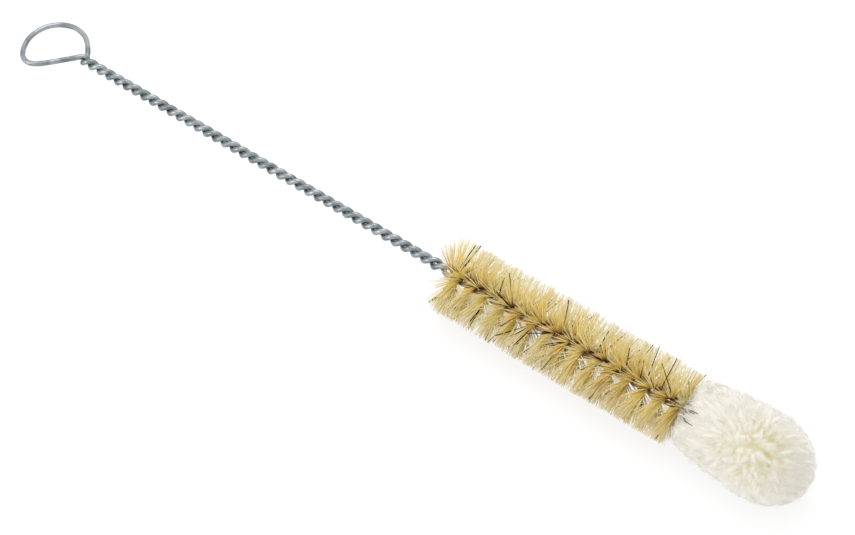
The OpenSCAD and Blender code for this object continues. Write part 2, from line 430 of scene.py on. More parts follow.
def strand_mesh(name, paths, widths, tints, sides, rng, smooth):
    """A closed strand along each path, made by extruding its root face point by point."""
    count, rows = paths.shape[:2]
    rings = strand_rings(paths, widths, sides, rng.uniform(0, 2 * math.pi, count)).tolist()
    bm = bmesh.new()
    strand = bm.verts.layers.int.new("strand")
    side = bm.verts.layers.int.new("side")
    row = bm.verts.layers.int.new("row")
    faces = []
    for i in range(count):
        corners = [bm.verts.new(place) for place in rings[i][0]]
        for j, corner in enumerate(corners):
            corner[strand] = i
            corner[side] = j
        faces.append(bm.faces.new(corners))
    for k in range(1, rows):
        faces = bmesh.ops.extrude_discrete_faces(bm, faces=faces)["faces"]
        for face in faces:
            for corner in face.verts:
                corner[row] = k
                corner.co = rings[corner[strand]][k][corner[side]]
    bmesh.ops.holes_fill(bm, edges=[edge for edge in bm.edges if edge.is_boundary])
    for face in bm.faces:
        face.smooth = smooth
    strand_map(bm, strand, side, row, tints, rows)
    mesh = bpy.data.meshes.new(name)
    bm.to_mesh(mesh)
    bm.free()
    for layer in ("strand", "side", "row"):
        mesh.attributes.remove(mesh.attributes[layer])
    return mesh


# Width of a strand's side on its map, and the last tint that leaves room for all the sides
SIDE_ON_MAP = 0.004
LAST_TINT = 0.98


def strand_map(bm, strand, side, row, tints, rows):
    """Lays every strand out on the map: across by its tint, up by how far out it is."""
    places = bm.loops.layers.uv.new(STRAND_MAP)
    for face in bm.faces:
        for corner in face.loops:
            v = corner.vert
            across = tints[v[strand]] + SIDE_ON_MAP * v[side]
            corner[places].uv = (across, v[row] / (rows - 1))


def add_strands(name, paths, widths, tints, sides, rng, material, node, smooth=True):
    """A piece made of strands, with its finish and its place in the frame."""
    mesh = strand_mesh(name, paths, widths, tints, sides, rng, smooth)
    dress(new_object(name, mesh), material, node)


def material_nodes(name):
    """A new material with its node tree and its shader."""
    made = bpy.data.materials.new(name)
    made.use_nodes = True
    tree = made.node_tree
    return made, tree, tree.nodes["Principled BSDF"]


def colour_ramp(tree, factor, stops):
    """A colour ramp over a factor, from (place, colour) stops."""
    node = tree.nodes.new("ShaderNodeValToRGB")
    ramp = node.color_ramp
    while len(ramp.elements) < len(stops):
        ramp.elements.new(1.0)
    for element, (place, stop) in zip(ramp.elements, stops):
        element.position = place
        element.color = (*stop, 1.0)
    tree.links.new(factor, node.inputs["Fac"])
    return node.outputs["Color"]


def blended(tree, factor, first, second):
    """A mix of two colours, each a socket or a fixed colour."""
    node = tree.nodes.new("ShaderNodeMix")
    node.data_type = "RGBA"
    tree.links.new(factor, node.inputs[0])
    for socket, value in ((node.inputs[6], first), (node.inputs[7], second)):
        if isinstance(value, bpy.types.NodeSocket):
            tree.links.new(value, socket)
        else:
            socket.default_value = (*value, 1.0)
    return node.outputs[2]


def strand_coordinates(tree):
    """The tint of each strand and the way from its root to its tip."""
    places = tree.nodes.new("ShaderNodeUVMap")
    places.uv_map = STRAND_MAP
    split = tree.nodes.new("ShaderNodeSeparateXYZ")
    tree.links.new(places.outputs["UV"], split.inputs[0])
    return split.outputs["X"], split.outputs["Y"]


def varied(tree, factor, first, last):
    """A factor turned into a number that goes from the first value to the last."""
    node = tree.nodes.new("ShaderNodeMapRange")
    node.inputs["To Min"].default_value = first
    node.inputs["To Max"].default_value = last
    tree.links.new(factor, node.inputs["Value"])
    return node.outputs["Result"]


def object_place(tree):
    """The object's own coordinates."""
    return tree.nodes.new("ShaderNodeTexCoord").outputs["Object"]


def noise_at(tree, place, scale, detail):
    """Noise that is read at a place."""
    noise = tree.nodes.new("ShaderNodeTexNoise")
    noise.inputs["Scale"].default_value = scale
    noise.inputs["Detail"].default_value = detail
    tree.links.new(place, noise.inputs["Vector"])
    return noise.outputs["Fac"]


def roughened(tree, shader, height, strength, distance):
    """Gives a shader fine bumps."""
    bump = tree.nodes.new("ShaderNodeBump")
    bump.inputs["Strength"].default_value = strength
    bump.inputs["Distance"].default_value = distance
    tree.links.new(height, bump.inputs["Height"])
    tree.links.new(bump.outputs["Normal"], shader.inputs["Normal"])


def past_along(tree, start, end):
    """From 0 at one place along the brush to 1 at another."""
    split = tree.nodes.new("ShaderNodeSeparateXYZ")
    tree.links.new(object_place(tree), split.inputs[0])
    node = tree.nodes.new("ShaderNodeMapRange")
    node.inputs["From Min"].default_value = start
    node.inputs["From Max"].default_value = end
    tree.links.new(split.outputs["X"], node.inputs["Value"])
    return node.outputs["Result"]


def zinc_material(settings, among_bristles_start, among_bristles_end):
    """Galvanised wire in dull and bright patches, finely rough; brown among the bristles, partly
    their wrapped roots and partly a painted reflection of them.
    """
    made, tree, shader = material_nodes("galvanised_wire")
    patches = noise_at(tree, object_place(tree), scale=260, detail=4)
    dull_at, bright_at = 0.38, 0.6
    bare = colour_ramp(tree, patches, [(dull_at, settings.dull), (bright_at, settings.bright)])
    # Among the bristles: partly their wrapped roots, partly a painted reflection of the golden
    # bristles, in dull and bright patches
    dull_wrapped_and_reflected = scaled(settings.wrapped_and_reflected, DULL_AMONG_BRISTLES)
    wrapped_and_reflected = colour_ramp(tree, patches, [(dull_at, dull_wrapped_and_reflected), (bright_at, settings.wrapped_and_reflected)])
    among_bristles = past_along(tree, among_bristles_start, among_bristles_end)
    tone = blended(tree, among_bristles, bare, wrapped_and_reflected)
    tree.links.new(tone, shader.inputs["Base Color"])
    tree.links.new(varied(tree, patches, first=0.5, last=0.3), shader.inputs["Roughness"])
    tree.links.new(varied(tree, among_bristles, first=1.0, last=0.2), shader.inputs["Metallic"])
    pits = noise_at(tree, object_place(tree), scale=1600, detail=3)
    roughened(tree, shader, pits, strength=0.3, distance=0.05 * MM)
    return made


def bristle_material(settings):
    """Natural bristle: brown at the root, darkened there by painted shade, straw or golden along
    it, and paler at the cut tip from painted light shining through.
    """
    made, tree, shader = material_nodes("pale_bristle")
    tint, along = strand_coordinates(tree)
    body = colour_ramp(tree, tint, [
        (0.02, settings.brown), (0.12, settings.gold), (0.35, settings.straw),
        (0.6, settings.straw), (0.95, settings.cream),
    ])
    # Darker brown towards the twist: partly the bristles' own colour, partly painted shade where
    # they crowd round the wire
    out = colour_ramp(tree, along, [(0.1, grey(0)), (0.24, grey(0.8)), (0.4, grey(1))])
    rooted_and_shaded = blended(tree, out, settings.root, body)
    # Paler and greyer towards the cut ends: painted light shining through the thin tips
    end = colour_ramp(tree, along, [(0.5, grey(0)), (1.0, grey(0.7))])
    tree.links.new(blended(tree, end, rooted_and_shaded, settings.tip), shader.inputs["Base Color"])
    shader.inputs["Roughness"].default_value = 0.42
    shader.inputs["Specular IOR Level"].default_value = 0.5
    return made


# The brownest dark bristles end this many times lighter than their root
BROWNEST = 2.2


def dark_material(settings):
    """Dark bristle: near black at the root, browner to the tip."""
    made, tree, shader = material_nodes("dark_bristle")
    tint, along = strand_coordinates(tree)
    tone = blended(tree, tint, settings.dark, scaled(settings.dark, BROWNEST))
    tree.links.new(blended(tree, along, settings.dark, tone), shader.inputs["Base Color"])
    shader.inputs["Roughness"].default_value = 0.8
    shader.inputs["Specular IOR Level"].default_value = 0.05
    return made


def wool_material(settings):
    """Loose fibres of undyed wool: whitest at their ends, each in its own tint, softly sheened."""
    made, tree, shader = material_nodes("wool_fibre")
    tint, along = strand_coordinates(tree)
    tone = colour_ramp(tree, tint, [(0.0, settings.white), (0.6, settings.ends)])
    tree.links.new(blended(tree, along, settings.white, tone), shader.inputs["Base Color"])
    shader.inputs["Roughness"].default_value = 0.9
    shader.inputs["Sheen Weight"].default_value = 0.5
    shader.inputs["Sheen Roughness"].default_value = 0.5
    return made


def combed_noise(tree, crown, fineness, stretch):
    """Noise in streaks that run away from the crown."""
    place = object_place(tree)
    vectors = [tree.nodes.new("ShaderNodeVectorMath") for _ in range(4)]
    away, ways, along, both = vectors
    away.operation, ways.operation = "SUBTRACT", "NORMALIZE"
    along.operation, both.operation = "SCALE", "ADD"
    away.inputs[1].default_value = crown
    along.inputs["Scale"].default_value = stretch
    tree.links.new(place, away.inputs[0])
    tree.links.new(away.outputs[0], ways.inputs[0])
    tree.links.new(place, along.inputs[0])
    tree.links.new(ways.outputs[0], both.inputs[0])
    tree.links.new(along.outputs[0], both.inputs[1])
    return noise_at(tree, both.outputs[0], fineness, detail=3)


# Name of the closed wool's own measure of how yellowish it is, partly its own colour and partly
# painted shade in the partings
PARTING_TINT_AND_SHADE = "parting"


def wool_body_material(settings, crown):
    """The closed wool under the loose fibres: white locks, yellowish in the partings, partly its
    own colour and partly painted shade.
    """
    made, tree, shader = material_nodes("wool_body")
    streaks = combed_noise(tree, crown, fineness=45, stretch=5)
    body = colour_ramp(tree, streaks, [(0.35, settings.warm), (0.6, settings.white)])
    parting = tree.nodes.new("ShaderNodeAttribute")
    parting.attribute_name = PARTING_TINT_AND_SHADE
    patchy = tree.nodes.new("ShaderNodeMath")
    patchy.operation = "MULTIPLY"
    tree.links.new(parting.outputs["Fac"], patchy.inputs[0])
    noise = noise_at(tree, object_place(tree), scale=300, detail=2)
    patches = colour_ramp(tree, noise, [(0.35, grey(0)), (0.6, grey(1))])
    tree.links.new(patches, patchy.inputs[1])
    # Painted shade, partly the wool's own yellower inside, in the low partings near the crown
    tone = blended(tree, patchy.outputs[0], body, settings.parting_yellow_and_shade)
    tree.links.new(tone, shader.inputs["Base Color"])
    shader.inputs["Roughness"].default_value = 0.95
    shader.inputs["Subsurface Weight"].default_value = 0.7
    shader.inputs["Subsurface Radius"].default_value = (1.0, 0.95, 0.85)
    shader.inputs["Subsurface Scale"].default_value = 2.5 * MM
    shader.inputs["Sheen Weight"].default_value = 0.9
    shader.inputs["Sheen Roughness"].default_value = 0.5
    roughened(tree, shader, streaks, strength=0.25, distance=0.3 * MM)
    return made


class BRUSH_OT_wire(Operator):
    """Bends one wire into its ring and twists it on itself"""

    bl_idname = "brush.wire"
    bl_label = "Twist the Wire"

    def execute(self, context):
        lay = BrushLay(context.scene.brush_sizes)
        settings = context.scene.brush_wire
        route = lay.laid(wire_route(lay, settings))
        line = bpy.data.curves.new("wire", "CURVE")
        line.dimensions = "3D"
        line.twist_mode = "MINIMUM"
        line.bevel_depth = lay.wire_r
        line.bevel_resolution = settings.sides
        line.use_fill_caps = True
        spline = line.splines.new("POLY")
        spline.points.add(len(route) - 1)
        spline.points.foreach_set("co", np.c_[route, np.ones(len(route))].ravel())
        swept = new_object("wire_sweep", line)
        mesh = bpy.data.meshes.new_from_object(swept)
        mesh.shade_smooth()
        bpy.data.objects.remove(swept)
        piece = new_object("wire", mesh)
        # The painted reflection of the bristles, with their wrapped roots, starts where the
        # bristles do
        among_bristles_start = lay.laid((lay.bristle_x, 0, 0))[0]
        material = zinc_material(settings, among_bristles_start, among_bristles_start + AMONG_BRISTLES_SPREAD)
        dress(piece, material, "wire_handle")
        return {"FINISHED"}


def held_above(paths, floor):
    """Shortens the strands that would reach below the surface."""
    root, tip = paths[:, :1, 2], paths[:, -1:, 2]
    room = np.clip((root - floor) / np.maximum(root - tip, TINY), 0, 1)
    keep = np.where(tip < floor, room, 1.0)[:, :, None]
    return paths[:, :1] + (paths - paths[:, :1]) * keep


# Rounds in which a bent bristle is brought to its length
TRIM_ROUNDS = 4


def bristle_paths(lay, x, angles, leans, reach, bend, rows):
    """Bristles out from the twist to the trimmed cylinder, each with its own slight bend."""
    along = np.stack((np.sin(leans), 0 * leans, 0 * leans), -1)
    ways = along + out_from_axis(angles) * np.cos(leans)[:, None]
    roots = np.stack((x, 0 * x, 0 * x), -1)
    lengths = reach / np.cos(leans)
    t = np.linspace(0, 1, rows)[None, :, None]
    for _ in range(TRIM_ROUNDS):
        paths = roots[:, None] + ways[:, None] * lengths[:, None, None] * t
        paths = paths + bend[:, None] * t * t
        radius = np.hypot(paths[:, -1, 1], paths[:, -1, 2])
        lengths = lengths * reach / radius
    return held_above(lay.laid(paths), FLOOR_GAP)


# Half the angle over which the bristles part
BRISTLE_PARTING = math.radians(40)
# How full the tufts are, their tints, and how far a bristle's tint strays from its tuft's
TUFT_FULLNESS = (0.65, 1.35)
TUFT_TINTS = (0.25, 0.8)
TINT_STRAY = 0.35


def gripped_bristles(lay, settings, rng, count, side, lean, sway):
    """Where bristles leave the twist on one side, their ways, reach and bend, and their tints."""
    first, last = lay.bristle_x + FIRST_GRIPPED, lay.bristle_end + LAST_GRIPPED
    tufts = settings.tufts
    middles = first + (last - first) * (np.arange(tufts) + 0.5) / tufts
    facing = lay.strand_angle(middles) + math.pi / 2 + side * math.pi
    fullness = rng.uniform(*TUFT_FULLNESS, tufts)
    fullness *= 1 + settings.fuller * np.cos(facing - settings.off_side)
    aside = np.sin((facing - settings.part_side) / 2) ** 2
    fullness *= 1 - settings.parted * np.exp(-4 * aside / BRISTLE_PARTING ** 2)
    tuft = rng.choice(tufts, count, p=fullness / np.sum(fullness))
    x = first + (last - first) * (tuft + rng.uniform(0, 1, count)) / tufts
    angles = lay.strand_angle(x) + math.pi / 2 + side * math.pi + rng.normal(0, sway, count)
    leans = rng.normal(0, settings.tuft_lean, tufts)[tuft] + rng.normal(0, lean, count)
    cut = (np.abs(rng.normal(0, settings.tuft_trim, tufts))[tuft]
           + np.abs(rng.normal(0, settings.trim, count)))
    reach = lay.bristle_r + LONGEST_PAST - cut.clip(0, MOST_CUT)
    reach += settings.off_centre * np.cos(angles - settings.off_side)
    bend = rng.normal(0, settings.bend / 2, (count, 3))
    tints = rng.uniform(*TUFT_TINTS, tufts)[tuft] + rng.uniform(-TINT_STRAY, TINT_STRAY, count)
    return x, angles, leans, reach, bend, tints.clip(0, LAST_TINT)


# A pale bristle's thickness from root to tip, and how far the bristles' thicknesses differ
PALE_TAPER = (1, 1, 1, 0.85)
PALE_THICKNESSES = (0.75, 1.2)


class BRUSH_OT_bristles(Operator):
    """Grips a spiral of pale bristles in the twist"""

    bl_idname = "brush.bristles"
    bl_label = "Grip the Bristles"

    def execute(self, context):
        lay = BrushLay(context.scene.brush_sizes)
        settings = context.scene.brush_bristles
        material = bristle_material(settings)
        for side, name in enumerate(("bristles_first_side", "bristles_second_side")):
            rng = np.random.default_rng(BRISTLE_SEED + side)
            *found, tints = gripped_bristles(
                lay, settings, rng, settings.count, side, settings.lean, settings.sway)
            paths = bristle_paths(lay, *found, rows=len(PALE_TAPER))
            widths = settings.thick * rng.uniform(*PALE_THICKNESSES, (settings.count, 1))
            widths = widths * np.array(PALE_TAPER)
            add_strands(name, paths, widths, tints, 3, rng, material,
                        "bristle_spiral", smooth=False)
        return {"FINISHED"}


# Flattened bristles: where they start from the tuft's start and how long they are, in millimetres
FLATTENED_STARTS = (-3, 2)
FLATTENED_LENGTHS = (4, 9)
# How far round from the parting they lie and how far they turn, how high, and how thin
FLATTENED_ANGLES = (-0.05, 0.4)
FLATTENED_TURN = 0.05
FLATTENED_HEIGHT = 0.7 * MM
FLATTENED_THIN = 0.7


def flattened_paths(lay, count, rng, rows):
    """Bristles that lie on the parting where the tuft starts."""
    t = np.linspace(0, 1, rows)[None, :]
    start = lay.wool_x + rng.uniform(*FLATTENED_STARTS, (count, 1)) * MM
    x = start + rng.uniform(*FLATTENED_LENGTHS, (count, 1)) * MM * t
    angles = START_PARTING + rng.uniform(*FLATTENED_ANGLES, (count, 1))
    angles = angles + rng.normal(0, FLATTENED_TURN, (count, 1)) * t
    surface = lay.wool_outline(x) * lay.wool_widening(x, angles)
    r = np.maximum(surface, 2 * lay.wire_r + GRIPPED_GAP) + FLATTENED_HEIGHT
    return lay.laid(x[..., None] * (1, 0, 0) + out_from_axis(angles) * r[..., None])


# A dark bristle's thickness from root to tip, and how far the bristles' thicknesses differ
DARK_TAPER = np.linspace(1, 0.7, 6)
DARK_THICKNESSES = (0.8, 1.2)
# The dark bristles lean and stray this many times as far as the pale ones
DARK_LEAN = 1.2
DARK_SWAY = 1.5


class BRUSH_OT_dark_bristles(Operator):
    """Scatters single dark bristles through the spiral"""

    bl_idname = "brush.dark_bristles"
    bl_label = "Scatter the Dark Bristles"

    def execute(self, context):
        lay = BrushLay(context.scene.brush_sizes)
        settings = context.scene.brush_bristles
        rng = np.random.default_rng(DARK_SEED)
        lean, sway = DARK_LEAN * settings.lean, DARK_SWAY * settings.sway
        sides = [gripped_bristles(lay, settings, rng, settings.dark_count, side, lean, sway)
                 for side in (0, 1)]
        *found, tints = (np.concatenate(pair) for pair in zip(*sides))
        rows, flattened = len(DARK_TAPER), settings.flattened
        paths = bristle_paths(lay, *found, rows)
        paths[:flattened] = flattened_paths(lay, flattened, rng, rows)
        widths = settings.dark_thick * rng.uniform(*DARK_THICKNESSES, (len(paths), 1)) * DARK_TAPER
        widths[:flattened] *= FLATTENED_THIN
        add_strands("dark_bristles", paths, widths, tints, 5, rng, dark_material(settings),
                    "bristle_spiral")
        return {"FINISHED"}


# Points along the tuft's outline
OUTLINE_POINTS = 400
# The wool's first root, and how the roots follow the ends along the wire and crowd at its tip
ROOT_START = 1 * MM
ROOT_PACE = 0.93
ROOT_CROWD = 0.29


def wool_line(lay):
    """The tuft's outline from start to tip: x, radius, way along it and surface so far."""
    x = np.linspace(lay.wool_x, lay.tip_x, OUTLINE_POINTS)
    r = lay.wool_outline(x)
    step = np.hypot(np.diff(x), np.diff(r))
    way = np.concatenate(([0], np.cumsum(step)))
    surface = np.concatenate(([0], np.cumsum(step * (r[1:] + r[:-1]))))
    return x, r, way, surface


def wool_roots(lay, along):
    """Where on the twist the wool that ends so far along the axis is gripped."""
    part = (along - lay.wool_x) / lay.sizes.wool_l
    root = lay.wool_x + ROOT_START + lay.sizes.wool_l * part * (ROOT_PACE - ROOT_CROWD * part)
    return root * (1, 0, 0)


def wool_reach(lay, line, ways, angles):
    """The root on the wire and the end on the outline of the wool at each place."""
    x, r, way, _ = line
    along = np.interp(ways, way, x)
    reach = np.interp(ways, way, r) * lay.wool_widening(along, angles)
    ends = along[:, None] * (1, 0, 0) + out_from_axis(angles) * reach[:, None]
    return wool_roots(lay, along[:, None]), ends


# How unevenly the locks follow one another over the tuft
LOCK_PLACES = (0.2, 0.8)
# The locks stand up this near to the crown, and this share of the way to upright
KNOB_SIZE = 2.5 * MM
KNOB_LIFT = 0.45
# The locks are rugged this far round the crown and the curls, and shorter there by this share
WHORL_SIZE = 6 * MM
CURLS_SIZE = 7 * MM
RUGGED_SHORTER = 0.45
# Locks that run back to the tuft's start this steeply get shorter over this length, to this share
BACKWARD = -0.2
EDGE_PAST = 1 * MM
EDGE_LENGTH = 9 * MM
EDGE_SHORTEST = 0.2
# How far the locks' heights differ, and how much higher proud ones are in times the relief
LOCK_HEIGHTS = (0.25, 1.15)
PROUD_HEIGHT = 2.2
# Width of a lock, and how far the widths differ
LOCK_WIDTH = 0.85 * MM
LOCK_WIDTHS = (0.7, 1.3)


class Locks:
    """Locks of wool spread evenly over the tuft, each combed away from the crown."""

    def __init__(self, lay, settings, line):
        x, _, way, surface = line
        count = settings.locks
        rng = np.random.default_rng(LOCK_SEED)
        shares = (np.arange(count) + rng.uniform(*LOCK_PLACES, count)) / count * surface[-1]
        self.ways = np.interp(shares, surface, way)
        self.angles = np.arange(count) * math.pi * (3 - math.sqrt(5))
        roots, ends = wool_reach(lay, line, self.ways, self.angles)
        self.starts = roots + (ends - roots) * settings.body
        self.out = unit(ends - roots)
        centres = np.interp([settings.crown_x, settings.curls_x], x, way)
        self.crown, curls = wool_reach(
            lay, line, centres, np.array([settings.crown, settings.curls]))[1]
        away = ends - self.crown
        far = np.linalg.norm(away, axis=1)
        near = np.exp(-(far / KNOB_SIZE) ** 2)
        tossed = np.maximum(np.exp(-(far / WHORL_SIZE) ** 2),
                            np.exp(-np.sum((ends - curls) ** 2, axis=1) / CURLS_SIZE ** 2))
        away = unit(away - self.out * np.sum(away * self.out, axis=1)[:, None])
        yaw = rng.normal(0, 1, count) * (settings.yaw + (settings.toss - settings.yaw) * tossed)
        self.away = (away * np.cos(yaw)[:, None]
                     + np.cross(self.out, away) * np.sin(yaw)[:, None])
        lift = settings.lift + (math.pi / 2 - settings.lift) * KNOB_LIFT * near
        edge = (ends[:, 0] - lay.wool_x + EDGE_PAST) / EDGE_LENGTH
        edge = np.where(away[:, 0] < BACKWARD, np.clip(edge, EDGE_SHORTEST, 1), 1)
        self.run = settings.staple * np.cos(lift) * edge
        self.run *= 1 - RUGGED_SHORTER * tossed
        self.height = settings.relief + (settings.knob - settings.relief) * tossed
        self.height = self.height * rng.uniform(*LOCK_HEIGHTS, count)
        proud = rng.uniform(0, 1, count) < settings.proud
        self.height += np.where(proud, PROUD_HEIGHT * settings.relief * (1 - tossed), 0)
        self.width = LOCK_WIDTH * rng.uniform(*LOCK_WIDTHS, count)


# Fibres follow a surface of this radius, and stray round the axis no less than this far out
CLING = 12 * MM
NEAREST_AROUND = 2 * MM


def fibre_paths(lay, settings, line, locks, rng, rows):
    """Fibres that lie on the tuft, combed away from the crown lock by lock."""
    _, r, way, _ = line
    count = settings.fibres
    pick = rng.integers(0, settings.locks, count)
    stray = rng.normal(0, settings.spread, (2, count))
    ways = way[-1] - np.abs(way[-1] - np.abs(locks.ways[pick] + stray[0]))
    around = np.maximum(np.interp(locks.ways[pick], way, r), NEAREST_AROUND)
    roots, ends = wool_reach(lay, line, ways, locks.angles[pick] + stray[1] / around)
    starts = roots + (ends - roots) * settings.body
    size = rng.uniform(1 - settings.ragged, 1, (count, 1, 1))
    t = np.linspace(0, 1, rows)[None, :, None]
    out = unit(ends - roots)[:, None]
    rise = locks.height[pick] + np.abs(rng.normal(0, settings.fluff, count))
    droop = locks.run[pick, None] ** 2 / (2 * CLING)
    paths = starts[:, None] + size * (
        out * (rise[:, None, None] * (2 * t - t * t) - droop[:, None] * t * t)
        + (locks.away * locks.run[:, None])[pick][:, None] * t)
    paths += (locks.starts[pick] - starts)[:, None] * settings.gather * t * t
    return paths + rng.normal(0, settings.curl, (count, rows, 3)) * t


# The collar's fibres: where they leave the wire from the tuft's start, in millimetres, and how
# much rarer they are the earlier they leave it
COLLAR_ROOTS = (-0.8, 1.2)
EARLY_POWER = 4
# Where they end, in lengths of the collar, and their starts and ends as shares of the wire's and
# the tuft's radius
COLLAR_ENDS = (0.2, 3)
COLLAR_STARTS = (0.9, 1.3)
COLLAR_REACH = (0.95, 1.01)


def collar_paths(lay, settings, rng, rows):
    """Fibres that fan out from the wire to the tuft's outline where the tuft starts."""
    count = settings.collar
    root_x = lay.wool_x + rng.uniform(*COLLAR_ROOTS, count) * MM
    root_x -= settings.early * rng.uniform(0, 1, count) ** EARLY_POWER
    end_x = lay.wool_x + rng.uniform(*COLLAR_ENDS, count) * COLLAR
    angles = rng.uniform(0, 2 * math.pi, count)
    out = out_from_axis(angles)
    root_r = (2 * lay.wire_r + GRIPPED_GAP) * rng.uniform(*COLLAR_STARTS, count)
    end_r = lay.wool_outline(end_x) * lay.wool_widening(end_x, angles)
    end_r = root_r + (end_r - root_r) * rng.uniform(*COLLAR_REACH, count)
    t = np.linspace(0, 1, rows)[None, :]
    x = root_x[:, None] + (end_x - root_x)[:, None] * t
    past = np.clip((x - lay.wool_x) / (end_x - lay.wool_x)[:, None], 0, 1)
    r = root_r[:, None] + (end_r - root_r)[:, None] * np.sin(past * math.pi / 2)
    paths = x[..., None] * (1, 0, 0) + r[..., None] * out[:, None]
    return paths + rng.normal(0, settings.curl, (count, rows, 3)) * t[..., None]


# A lock's ridge: how far it runs in lengths of the lock, how wide it is at the lock's start, how
# fast it narrows, and its least and greatest width
RIDGE_RUN = 1.4
RIDGE_WIDTH = 1.2
RIDGE_NARROWS = 0.7
RIDGE_WIDTHS = (0.4, 1.3)
# How far behind the lock's start the ridge rises and over what share of its run, and its fall
RIDGE_BEHIND = 0.15
RIDGE_RISE = 0.5
RIDGE_END = 1.05
RIDGE_FALL = 0.45
# A ridge shows only on wool this near to it
RIDGE_NEAR = 4 * MM


def lock_relief(locks, places):
    """How high the locks stand at each place on the closed wool."""
    relief = np.zeros(len(places))
    for start, out, away, run, width, height in zip(
            locks.starts, locks.out, locks.away, locks.run, locks.width, locks.height):
        over = places - start
        forward = over @ away / max(RIDGE_RUN * run, width)
        wide = width * np.clip(RIDGE_WIDTH - RIDGE_NARROWS * forward, *RIDGE_WIDTHS)
        across = over @ np.cross(out, away) / wide
        climb = np.clip((forward + RIDGE_BEHIND) / RIDGE_RISE, 0, 1)
        fall = np.clip((RIDGE_END - forward) / RIDGE_FALL, 0, 1)
        ridge = np.sin(climb * math.pi / 2) * fall * fall * (3 - 2 * fall) * np.exp(-across ** 2)
        close = np.abs(over @ out) < RIDGE_NEAR
        relief = np.maximum(relief, np.where(close, ridge * height, 0))
    return relief


# The partings are most yellowish this far from the crown, and less so the higher the locks stand:
# partly the wool's own colour, partly painted shade where it lies low
PARTING_SIZE = 5.5 * MM
PARTING_DEPTH = 0.35 * MM
# Corners of the closed wool this near to each other are one
MERGED = 0.001 * MM


def wool_body(lay, settings, line, locks):
    """The closed wool: turned round the axis, narrowed at its start and raised into locks."""
    _, r, way, _ = line
    even = np.linspace(0, way[-1], settings.rings)
    roots, ends = wool_reach(lay, line, even, 0 * even)
    ends[:, 1] = np.interp(even, way, r)
    outline = roots + (ends - roots) * settings.body
    bm = bmesh.new()
    start = (outline[0, 0], 0, 0)
    corners = [bm.verts.new(place) for place in (start, *outline.tolist())]
    corners[-1].co.y = 0
    edges = [bm.edges.new(pair) for pair in zip(corners, corners[1:])]
    bmesh.ops.spin(bm, geom=corners + edges, axis=(1, 0, 0), cent=(0, 0, 0),
                   angle=2 * math.pi, steps=settings.rounds, use_merge=True)
    bmesh.ops.remove_doubles(bm, verts=bm.verts, dist=MERGED)
    bmesh.ops.recalc_face_normals(bm, faces=bm.faces)
    places = np.array([corner.co for corner in bm.verts])
    angles = np.arctan2(places[:, 2], places[:, 1])
    places[:, 1:] *= lay.wool_widening(places[:, 0], angles)[:, None]
    out = unit(places - wool_roots(lay, places[:, :1]))
    relief = lock_relief(locks, places)
    # Painted shade, partly the wool's own yellower colour, in the low partings near the crown
    far = np.linalg.norm(places - locks.crown, axis=1) / PARTING_SIZE
    parting = np.exp(-(far - 1) ** 2) * np.clip(1 - relief / PARTING_DEPTH, 0, 1)
    raised = laid_wool(lay, places + out * relief[:, None])
    raised[:, 2] = np.maximum(raised[:, 2], WOOL_GAP_BELOW)
    parting_tints_and_shades = bm.verts.layers.float.new(PARTING_TINT_AND_SHADE)
    for corner, place, level in zip(bm.verts, raised.tolist(), parting.tolist()):
        corner.co = place
        corner[parting_tints_and_shades] = level
    for face in bm.faces:
        face.smooth = True
    mesh = bpy.data.meshes.new("wool_body")
    bm.to_mesh(mesh)
    bm.free()
    return mesh


# The lowest fibres lie this far above the surface, in millimetres
FIBRE_GAPS = (0.05, 0.3)
# How far the fibres' thicknesses differ, and the share of it that is left at their ends
FIBRE_THICKNESSES = (0.8, 1.2)
FIBRE_END = 0.6


class BRUSH_OT_wool(Operator):
    """Ties the tuft of wool and fluffs up its fibres"""

    bl_idname = "brush.wool"
    bl_label = "Tie the Wool"

    def execute(self, context):
        lay = BrushLay(context.scene.brush_sizes)
        settings = context.scene.brush_wool
        line = wool_line(lay)
        locks = Locks(lay, settings, line)
        crown = laid_wool(lay, locks.crown)
        body = new_object("wool_body", wool_body(lay, settings, line, locks))
        dress(body, wool_body_material(settings, crown), "wool_tuft")
        rng = np.random.default_rng(FIBRE_SEED)
        material = wool_material(settings)
        for name, paths in (("wool_fluff", fibre_paths(lay, settings, line, locks, rng, rows=3)),
                            ("wool_collar", collar_paths(lay, settings, rng, rows=5))):
            count, rows = paths.shape[:2]
            paths = laid_wool(lay, paths)
            gaps = rng.uniform(*FIBRE_GAPS, (count, 1)) * MM
            paths[..., 2] = np.maximum(paths[..., 2], gaps)
            widths = settings.fibre_d * rng.uniform(*FIBRE_THICKNESSES, (count, 1))
            widths = widths * np.linspace(1, FIBRE_END, rows)
            tints = rng.uniform(0, LAST_TINT, count)
            add_strands(name, paths, widths, tints, 3, rng, material, "wool_tuft",
                        smooth=False)
        return {"FINISHED"}


def path_switch(tree, seen, otherwise):
    """One value where the camera or a mirror image sees it, another for the light it sends."""
    path = tree.nodes.new("ShaderNodeLightPath")
    total = path.outputs["Is Camera Ray"]
    for kind in ("Is Glossy Ray", "Is Transmission Ray"):
        add = tree.nodes.new("ShaderNodeMath")
        add.operation = "MAXIMUM"
        tree.links.new(total, add.inputs[0])
        tree.links.new(path.outputs[kind], add.inputs[1])
        total = add.outputs[0]
    return blended(tree, total, otherwise, seen)


def soft_lamp(name, place, size, power, aim):
    """A round lamp turned to what it lights."""
    lamp = bpy.data.lights.new(name, "AREA")
    lamp.shape = "DISK"
    lamp.size = size
    lamp.energy = power
    piece = new_object(name, lamp)
    piece.location = place
    piece.rotation_euler = (Vector(aim) - Vector(place)).to_track_quat("-Z", "Y").to_euler()


# The floor's grey for the light it sends on, and the grey and the glow that it is seen with
FLOOR_GREY = 0.86
FLOOR_SEEN = 0.2
FLOOR_GLOW = 0.8
